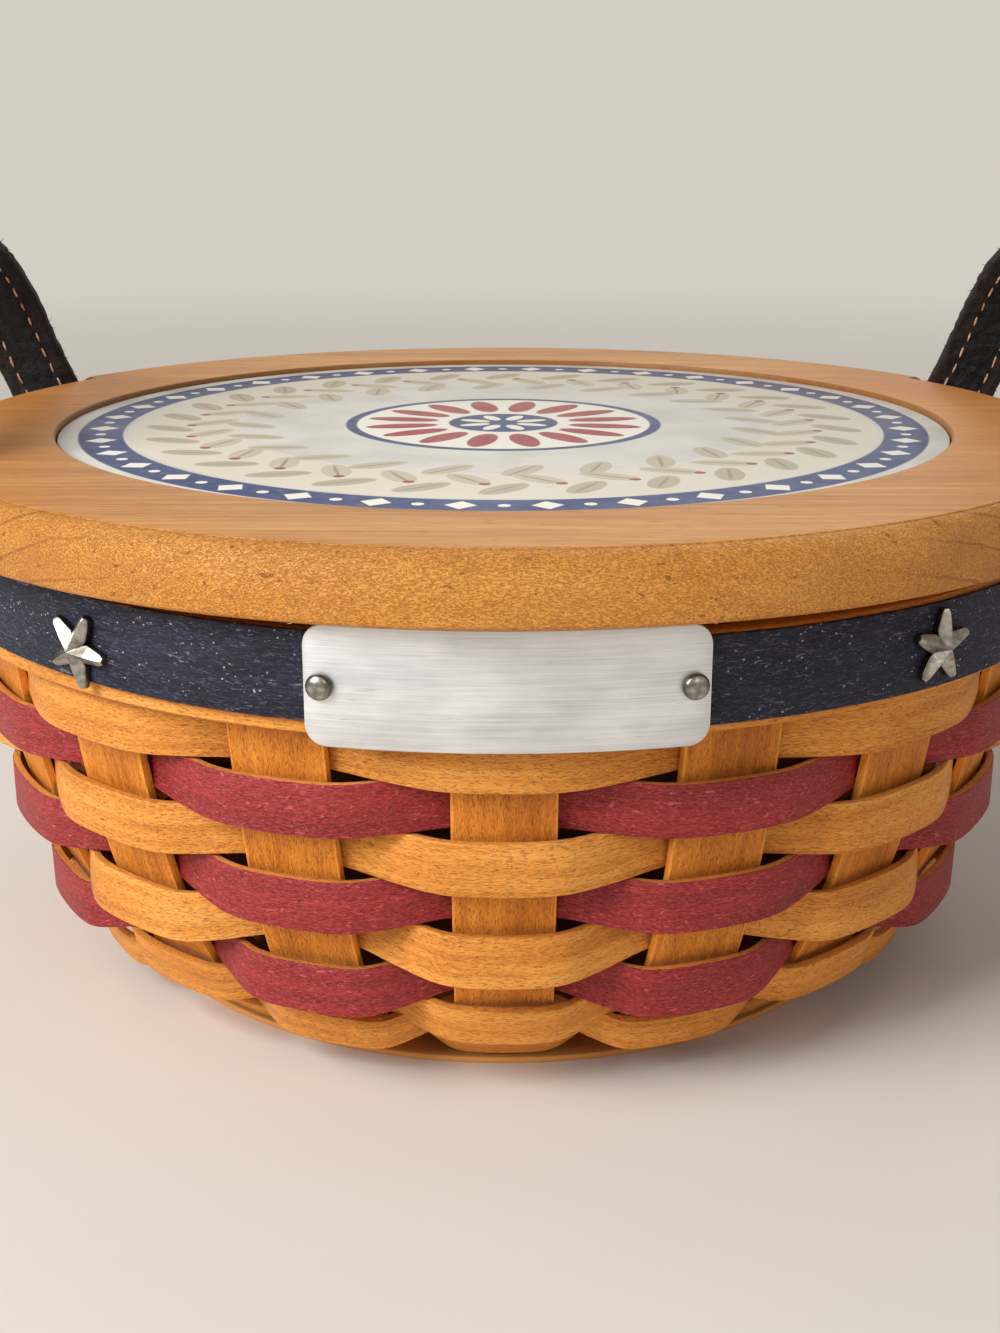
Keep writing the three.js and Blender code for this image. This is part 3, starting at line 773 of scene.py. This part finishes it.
def make_lid():
    """The lid's board, its printed panel and the disc under it that keeps it in place."""
    beside = 1e-4
    notch_ends = [side * math.pi / 2 + sign * NOTCH_HALF_ANGLE + nudge
                  for side in (1, 3) for sign in (1, -1) for nudge in (-beside, beside)]
    angles = np.sort(np.concatenate([even_angles(360), notch_ends]))
    add_turned("lid_turned_board", lid_profile(), maple, "lid", "lid_board",
               angles, notch_limit, sharp=35)

    core, ease = 3.0, 0.25
    radius = RECESS_RADIUS - FIT_GAP
    foot = PANEL_TOP - PANEL_THICKNESS
    profile = ([(core, foot), (radius, foot)]
               + arc_points(radius - ease, PANEL_TOP - ease, ease, ease, 0, math.pi / 2, 3)
               + [(core, PANEL_TOP)])
    add_turned("lid_printed_panel", profile, panel_print, "lid", "lid_panel")

    ease = 0.8
    low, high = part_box("lid_locating_disc")
    radius, bottom, top = high.x / MM, low.z / MM, high.z / MM
    profile = ([(core, bottom)]
               + arc_points(radius - ease, bottom + ease, ease, ease, -math.pi / 2, 0, 4)
               + [(radius, top), (core, top)])
    add_turned("lid_locator", profile, maple, "lid", "lid_locating_disc")


def make_base():
    """The turned base: a thin shelf, and a hub with a groove for the staves' feet."""
    core, ease = 3.0, 0.4
    floor = FOOT_HEIGHT - STAVE_THICKNESS / 2 - FIT_GAP
    ceiling = FOOT_HEIGHT + STAVE_THICKNESS / 2 + FIT_GAP
    top = ceiling + HUB_CAP
    profile = ([(core, 0.0)]
               + arc_points(BASE_RADIUS - ease, ease, ease, ease, -math.pi / 2, 0, 3)
               + arc_points(BASE_RADIUS - ease, BASE_EDGE - ease, ease, ease, 0, math.pi / 2, 3)
               + [(SHELF_RADIUS, BASE_EDGE), (HUB_RADIUS, floor), (GROOVE_RADIUS, floor),
                  (GROOVE_RADIUS, ceiling), (HUB_RADIUS, ceiling)]
               + arc_points(HUB_RADIUS - ease, top - ease, ease, ease, 0, math.pi / 2, 3)
               + [(core, top)])
    add_turned("base_turned_disc", profile, maple, "basket", "base_disc")


def make_plate():
    """The bare front plate: rounded corners and eased edges, bent round the rim."""
    half = PLATE_WIDTH / 2
    bend = np.linspace(0, math.pi / 2, 9)
    end = half - PLATE_CORNER * (1 - np.sin(bend))
    middle = np.linspace(PLATE_CORNER - half, half - PLATE_CORNER, 41)[1:-1]
    xs = np.concatenate([-end[::-1], middle, end])
    reach = np.maximum(0, np.abs(xs) - (half - PLATE_CORNER))
    tall = PLATE_HEIGHT / 2 - PLATE_CORNER + np.sqrt(np.maximum(0, PLATE_CORNER ** 2 - reach ** 2))
    out = outward(PLATE_TURN + xs / SEAT)
    centre = out * (SEAT + PLATE_THICKNESS / 2) + UP * PLATE_MIDDLE
    ups = np.broadcast_to(UP, centre.shape)
    section = np.stack([rounded_section(t, PLATE_THICKNESS / 2, PLATE_THICKNESS * 0.3) for t in tall])
    add_strip("front_blank_plate", centre, ups, out, section, aluminium, "basket",
              ["front_plate"])


def seat_points(points, angle, radius, height):
    """Turns points modelled flat, facing +Z, to face out of the rim at an angle."""
    points = np.asarray(points, float)
    return (tangent(angle) * points[:, 0:1] + UP * points[:, 1:2]
            + outward(angle) * (radius + points[:, 2:3]) + UP * height)


def make_rivet(name, node, radius, rise, angle, seat, height):
    """A domed head on a short foot."""
    foot, foot_rise, dome_start = radius * 0.94, rise * 0.16, rise * 0.2
    profile = ([(0.2, 0.0), (foot, 0.0)]
               + arc_points(foot, foot_rise, radius - foot, foot_rise, -1.2, 0, 2)
               + arc_points(0, dome_start, radius, rise - dome_start, 0.05, math.pi / 2 - 0.08, 9))
    points, faces = revolve(profile, even_angles(40))
    seated = seat_points(points, angle, seat, height)
    add_mesh(name, seated, faces, pewter, "basket", [node], points)


# The stars' places round the rim and their turns, in degrees.
STAR_PLACES = (38.6, -37.4, 142, -142)
STAR_TURNS = (-4, 46, 12, -20)

# A star in millimetres, and each of its arms as (distance out, half width, ridge height).
STAR_PEAK = 2.9
STAR_EDGE = 0.9
STAR_NOTCH = 2.3
STAR_ARM = ((2.8, 1.6, 2.45), (5.7, 1.0, 1.75), (6.4, 0.6, 1.3))
STAR_BEVEL = 0.07


def make_star(index, angle):
    """A cast star: five arms, each a steep roof whose ridge runs from the peak to a blunt tip."""
    per_arm = 1 + 3 * len(STAR_ARM)
    points, faces, outline = [(0, 0, STAR_PEAK)], [], []
    for k in range(5):
        a = math.radians(STAR_TURNS[index - 1]) + math.pi / 2 + k * math.tau / 5
        ahead = np.array([math.cos(a), math.sin(a)])
        side = np.array([-math.sin(a), math.cos(a)])
        first = len(points)
        notch, notch_before = first, 1 + per_arm * ((k - 1) % 5)
        corner = a + math.pi / 5
        points.append((STAR_NOTCH * math.cos(corner), STAR_NOTCH * math.sin(corner), STAR_EDGE))
        for out, half, ridge in STAR_ARM:
            points += [(*(ahead * out - side * half), STAR_EDGE), (*(ahead * out), ridge),
                       (*(ahead * out + side * half), STAR_EDGE)]
        rights, ridges, lefts = ([first + 1 + 3 * j + i for j in range(len(STAR_ARM))] for i in range(3))
        faces += [(0, ridges[0], lefts[0], notch), (0, notch_before, rights[0], ridges[0])]
        for j in range(len(STAR_ARM) - 1):
            faces += [(ridges[j], ridges[j + 1], lefts[j + 1], lefts[j]),
                      (rights[j], rights[j + 1], ridges[j + 1], ridges[j])]
        faces.append((rights[-1], lefts[-1], ridges[-1]))
        outline += rights + lefts[::-1] + [notch]
    base = len(points)
    points += [(points[p][0], points[p][1], 0.0) for p in outline]
    for i, p in enumerate(outline):
        j = (i + 1) % len(outline)
        faces.append((p, base + i, base + j, outline[j]))
    faces.append(tuple(base + i for i in range(len(outline) - 1, -1, -1)))
    seated = seat_points(points, angle, SEAT, STAR_HEIGHT)
    piece = add_mesh(f"cast_star_{index}", seated, faces, pewter, None, [f"star_stud_{index}"],
                     points, sharp=20)
    bevel = piece.modifiers.new("eased edges", "BEVEL")
    bevel.width = STAR_BEVEL * MM
    bevel.segments = 2
    bevel.limit_method = "ANGLE"
    bevel.angle_limit = math.radians(15)
    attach(piece, "basket")


def catmull(points, steps):
    """A smooth line through points, with even spacing along its length."""
    p = np.asarray(points, float)
    p = np.vstack([2 * p[0] - p[1], p, 2 * p[-1] - p[-2]])
    line = []
    for i in range(1, len(p) - 2):
        t = np.linspace(0, 1, 40, endpoint=False)[:, None]
        a, b, c, d = p[i - 1], p[i], p[i + 1], p[i + 2]
        bend = (2 * a - 5 * b + 4 * c - d) * t ** 2 + (3 * b - a - 3 * c + d) * t ** 3
        line.append(0.5 * (2 * b + (c - a) * t + bend))
    line = np.vstack(line + [p[-2:-1]])
    run = run_along(line)
    even = np.linspace(0, run[-1], steps + 1)
    return np.stack([np.interp(even, run, line[:, k]) for k in range(3)], -1)


def strap_line(side, steps):
    """Centres, width and thickness directions of a strap, from its front tab over to its back tab."""
    cosine, sine = math.cos(HANDLE_HALF_ANGLE), math.sin(HANDLE_HALF_ANGLE)
    foot = (HANDLE_FOOT * cosine, HANDLE_FOOT * sine)
    half = [(*foot, TAB_FOOT), (*foot, TAB_MIDDLE), (*foot, HINGE_HEIGHT), *HANDLE_POINTS[:2]]
    route = [(o, -a, u) for o, a, u in half] + [HANDLE_POINTS[2]] + half[::-1]
    centre = catmull(route, steps)
    path = np.gradient(centre, axis=0)
    path /= np.linalg.norm(path, axis=1)[:, None]
    share = np.clip((centre[:, 2] - HINGE_HEIGHT) / (HANDLE_POINTS[0][2] - HINGE_HEIGHT), 0, 1)
    share = (share * share * (3 - 2 * share))[:, None]
    toward = np.where(np.arange(steps + 1) <= steps / 2, 1.0, -1.0)[:, None]
    flat = np.array([sine, 0, 0]) + toward * np.array([0, cosine, 0])
    arched = np.array([math.cos(HANDLE_LEAN), 0, -math.sin(HANDLE_LEAN)])
    path = np.where(share < 1e-6, toward * UP, path)
    width = flat * (1 - share) + arched * share
    width -= path * np.sum(width * path, axis=1)[:, None]
    width /= np.linalg.norm(width, axis=1)[:, None]
    thick = np.cross(path, width)
    mirror = np.array([SIDES[side], 1.0, 1.0])
    return centre * mirror, width * mirror, thick * mirror


def strap_relief(run, across, shift):
    """How far a strap's face stands off flat: sunk at the seams, and wrinkled, most between them."""
    seam_width, outside_share = 0.6, 0.35
    seam = -SEAM_SINK * math.exp(-((abs(across) - SEAM_OFFSET) / seam_width) ** 2)
    broad = noise.noise(Vector((run / 3.4, across / 2.1, shift)))
    fine = noise.noise(Vector((run / 1.5, across, shift)))
    share = 1.0 if abs(across) < SEAM_OFFSET - seam_width else outside_share
    return seam + WRINKLE * (broad + 0.6 * fine) * share


def strap_section(half, run, shift):
    """The strap's cross-section at one place along it, with its two faces wrinkled."""
    corner, columns = 0.9, 13
    rounded = rounded_section(half, STRAP_THICKNESS / 2, corner, 4)
    face = np.linspace(half - corner, corner - half, columns + 2)[1:-1]
    front = [(w, STRAP_THICKNESS / 2 + strap_relief(run, w, shift)) for w in face]
    back = [(w, -STRAP_THICKNESS / 2 - strap_relief(run, w, shift + 9)) for w in face[::-1]]
    return np.concatenate([rounded[:5], front, rounded[5:15], back, rounded[15:]])


def make_handle(side):
    """A leather strap bent into a loop, its ends flat on the rim, with its stitches and frayed edges."""
    steps, raggedness, waves = 300, 0.16, 150
    centre, width, thick = strap_line(side, steps)
    run = np.linspace(0, run_along(centre)[-1], steps + 1)
    from_end = np.minimum(run, run[-1] - run)
    reach = np.clip(TAB_CORNER - from_end, 0, TAB_CORNER)
    rounding = TAB_CORNER - np.sqrt(np.maximum(0.05, TAB_CORNER ** 2 - reach ** 2))
    halves = STRAP_WIDTH / 2 - rounding + raggedness * wander(steps + 1, waves)
    shift, start = (3.0, 500.0) if side == "left" else (40.0, 0.0)
    section = np.stack([strap_section(h, at, shift) for h, at in zip(halves, run)])
    nodes = [f"{side}_handle_loop", f"{side}_handle_front_tab", f"{side}_handle_back_tab"]
    strap = add_strip(f"{side}_leather_strap", centre, width, thick, section, leather, None,
                      nodes, start)
    stitches = make_stitches(side, centre, width, thick, run)
    fibres = make_fibres(side, centre, width, thick, run)
    for piece in (strap, stitches, fibres):
        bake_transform(piece)


def along_strap(at, run, values):
    """A vector given along a strap, at one place on it."""
    return np.array([np.interp(at, run, values[:, k]) for k in range(3)])


def make_stitches(side, centre, width, thick, run):
    """Two rows of stitches on both faces of a strap, sunk in their seams and not quite even."""
    pitch, margin, ring, crown, dive = 4.2, 6.0, 6, 0.16, 0.5
    shape = [(-0.5, 0.3), (-0.36, 0.8), (0.0, 1.0), (0.36, 0.8), (0.5, 0.3)]
    points, faces, strip = [], [], []
    for face in (1, -1):
        for row in (-1, 1):
            for at in np.arange(margin, run[-1] - margin, pitch):
                length, fat = RNG.uniform(2.0, 3.0), RNG.uniform(0.2, 0.29)
                slant, stray = RNG.uniform(-0.02, 0.14), RNG.uniform(-0.1, 0.1)
                w = along_strap(at, run, width)
                n = along_strap(at, run, thick)
                base = len(points)
                for t, size in shape:
                    c = along_strap(at + length * t, run, centre)
                    c = c + w * (row * SEAM_OFFSET + stray + slant * length * t)
                    c = c + n * face * (STRAP_THICKNESS / 2 - SEAM_SINK + crown - dive * t * t)
                    for k in range(ring):
                        a = math.tau * k / ring
                        points.append(c + (w * math.cos(a) + n * math.sin(a)) * fat * size)
                        strip.append((at + length * t, math.cos(a) * fat, math.sin(a) * fat))
                faces += [tuple(base + i for i in f) for f in loft_faces(len(shape), ring)]
    return add_mesh(f"{side}_strap_stitches", points, faces, thread, None, (), strip)


def make_fibres(side, centre, width, thick, run):
    """Short fibres that stand off a strap's cut edges."""
    count, ring, margin, sunk = 330, 3, 8.0, 0.25
    taper = ((0.0, 0.11), (0.5, 0.08), (1.0, 0.02))
    points, faces, strip = [], [], []
    for at in np.sort(RNG.uniform(margin, run[-1] - margin, count)):
        edge = RNG.choice([-1, 1])
        c, w, n = (along_strap(at, run, values) for values in (centre, width, thick))
        path = np.cross(w, n)
        c = c + w * edge * (STRAP_WIDTH / 2 - sunk) + n * RNG.uniform(-1.2, 1.2)
        heading = w * edge + n * RNG.uniform(-0.7, 0.7) + path * RNG.uniform(-1.3, 1.3)
        curl = path * RNG.uniform(-0.6, 0.6) + n * RNG.uniform(-0.4, 0.4)
        length = 0.45 + 0.9 * RNG.uniform() ** 2
        base = len(points)
        for t, fat in taper:
            middle = c + (heading * t + curl * t * t) * length
            for k in range(ring):
                a = math.tau * k / ring
                points.append(middle + (path * math.cos(a) + n * math.sin(a)) * fat)
                strip.append((at, edge * STRAP_WIDTH / 2, t))
        faces += [tuple(base + i for i in f) for f in loft_faces(len(taper), ring)]
    return add_mesh(f"{side}_strap_fibres", points, faces, leather, None, (), strip)


def make_rim():
    """The inner and outer bands, and the painted trim round them."""
    low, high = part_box("inner_rim_band")
    inner_radius = high.x / MM
    make_band("rim_inner_hoop", inner_radius - BAND_THICKNESS, inner_radius, low.z / MM,
              RIM_HEIGHT - INNER_BAND_DIP, natural_splint, "natural_splint", "inner_rim_band",
              lean=INNER_BAND_LEAN)
    make_band("rim_outer_hoop", *OUTER_BAND, BAND_FOOT, RIM_HEIGHT - OUTER_BAND_DIP,
              natural_splint, "natural_splint", "outer_rim_band")
    make_band("rim_navy_trim", *TRIM, TRIM_MIDDLE - TRIM_HEIGHT / 2, TRIM_MIDDLE + TRIM_HEIGHT / 2,
              navy_trim, "navy_trim", "trim_band", tilt=TRIM_TILT, wobble=0.12)


def make_plate_rivets():
    swing = (PLATE_WIDTH / 2 - PLATE_RIVET_INSET) / SEAT
    seat = SEAT + PLATE_THICKNESS + FIT_GAP
    for side, sign in SIDES.items():
        make_rivet(f"plate_dome_{side}", f"plate_rivet_{side}", PLATE_RIVET_RADIUS, PLATE_RIVET_RISE,
                   PLATE_TURN + sign * swing, seat, PLATE_MIDDLE)


def make_tab_rivets(side):
    for end, sign in (("front", -1), ("back", 1)):
        angle = SIDES[side] * (math.pi / 2 + sign * HANDLE_HALF_ANGLE)
        make_rivet(f"{side}_{end}_strap_dome", f"{side}_handle_{end}_rivet", TAB_RIVET_RADIUS,
                   TAB_RIVET_RISE, angle, TAB_RIVET_SEAT, TAB_RIVET_HEIGHT)


for index in range(STAVE_COUNT):
    make_stave(index)
for row in range(1, len(ROW_SHARES) + 1):
    make_weaver(row)
make_base()
make_lid()
make_rim()
make_plate()
make_plate_rivets()
for index, degrees in enumerate(STAR_PLACES, 1):
    make_star(index, math.radians(degrees))
for side in SIDES:
    make_handle(side)
    make_tab_rivets(side)


def seen_directly(tree):
    """1 where the stage or its reflection is seen, and 0 where the stage only lights the object."""
    path = tree.nodes.new("ShaderNodeLightPath")
    seen = path.outputs["Is Camera Ray"]
    for ray in ("Is Glossy Ray", "Is Transmission Ray"):
        either = tree.nodes.new("ShaderNodeMath")
        either.operation = "MAXIMUM"
        tree.links.new(seen, either.inputs[0])
        tree.links.new(path.outputs[ray], either.inputs[1])
        seen = either.outputs[0]
    return seen


def make_floor():
    """A pale round floor that fades into the backdrop."""
    sides, reach, fade_start = 96, 1.6, 0.45
    mesh = bpy.data.meshes.new("floor")
    rim = [tuple(p) for p in outward(even_angles(sides)) * -reach]
    mesh.from_pydata(rim, [], [tuple(range(sides))])
    floor = add_object("floor", mesh)
    s = Shader("pale floor", gloss=0.1)
    place = s.place()
    x, y, _ = s.parts(place)
    tone = s.noise(place, scale=3.0, detail=2)
    pale = s.mix(tone, srgb(216, 210, 201), srgb(222, 217, 208))
    s.put(s.bsdf.inputs["Alpha"], s.step(s.length(x, y), reach * 0.95, fade_start))
    seen = Field(s, seen_directly(s.tree))
    mesh.materials.append(s.finish(s.mix(seen, srgb(238, 220, 194), pale), 0.8))


# Each lamp's name, place and size in metres, and power in watts; all point at one spot on the basket.
LAMPS = (("key", (-0.84, -0.68, 0.80), 0.7, 20.0), ("fill", (0.5, -1.1, 0.7), 0.4, 1.3),
         ("back", (0.2, 0.9, 0.9), 0.8, 2.0))
LAMP_TARGET = Vector((0, 0, 0.06))
WORLD_LIGHT = 0.32

# The camera, fitted to a photograph 1333 pixels high; its place is in metres and its pitch in radians.
PHOTO_HEIGHT = 1333
FOCAL_PIXELS = 1753.4
SENSOR = 36
CAMERA_PLACE = (-0.000682, -0.35673, 0.16202)
CAMERA_PITCH = 0.303


def make_light():
    """A soft key light from the upper left, a weak fill, a weak back light and a plain pale backdrop."""
    for name, location, size, power in LAMPS:
        data = bpy.data.lights.new(name, "AREA")
        data.size = size
        data.energy = power
        lamp = add_object(name, data)
        lamp.location = location
        lamp.rotation_euler = (LAMP_TARGET - lamp.location).to_track_quat("-Z", "Y").to_euler()
    world = bpy.data.worlds.new("studio")
    bpy.context.scene.world = world
    world.use_nodes = True
    tree = world.node_tree
    light = tree.nodes["Background"]
    light.inputs["Color"].default_value = (1.0, 0.98, 0.95, 1)
    light.inputs["Strength"].default_value = WORLD_LIGHT
    backdrop = tree.nodes.new("ShaderNodeBackground")
    backdrop.inputs["Color"].default_value = srgb(212, 205, 195)
    both = tree.nodes.new("ShaderNodeMixShader")
    tree.links.new(seen_directly(tree), both.inputs[0])
    tree.links.new(light.outputs[0], both.inputs[1])
    tree.links.new(backdrop.outputs[0], both.inputs[2])
    tree.links.new(both.outputs[0], tree.nodes["World Output"].inputs["Surface"])


def make_camera():
    data = bpy.data.cameras.new("camera")
    data.sensor_width = SENSOR
    data.lens = FOCAL_PIXELS / PHOTO_HEIGHT * SENSOR
    camera = add_object("camera", data)
    camera.location = CAMERA_PLACE
    camera.rotation_euler = (math.pi / 2 - CAMERA_PITCH, 0, 0)
    data.clip_start = 0.01
    bpy.context.scene.camera = camera


make_floor()
make_light()
make_camera()
bpy.context.scene.view_settings.view_transform = "Standard"
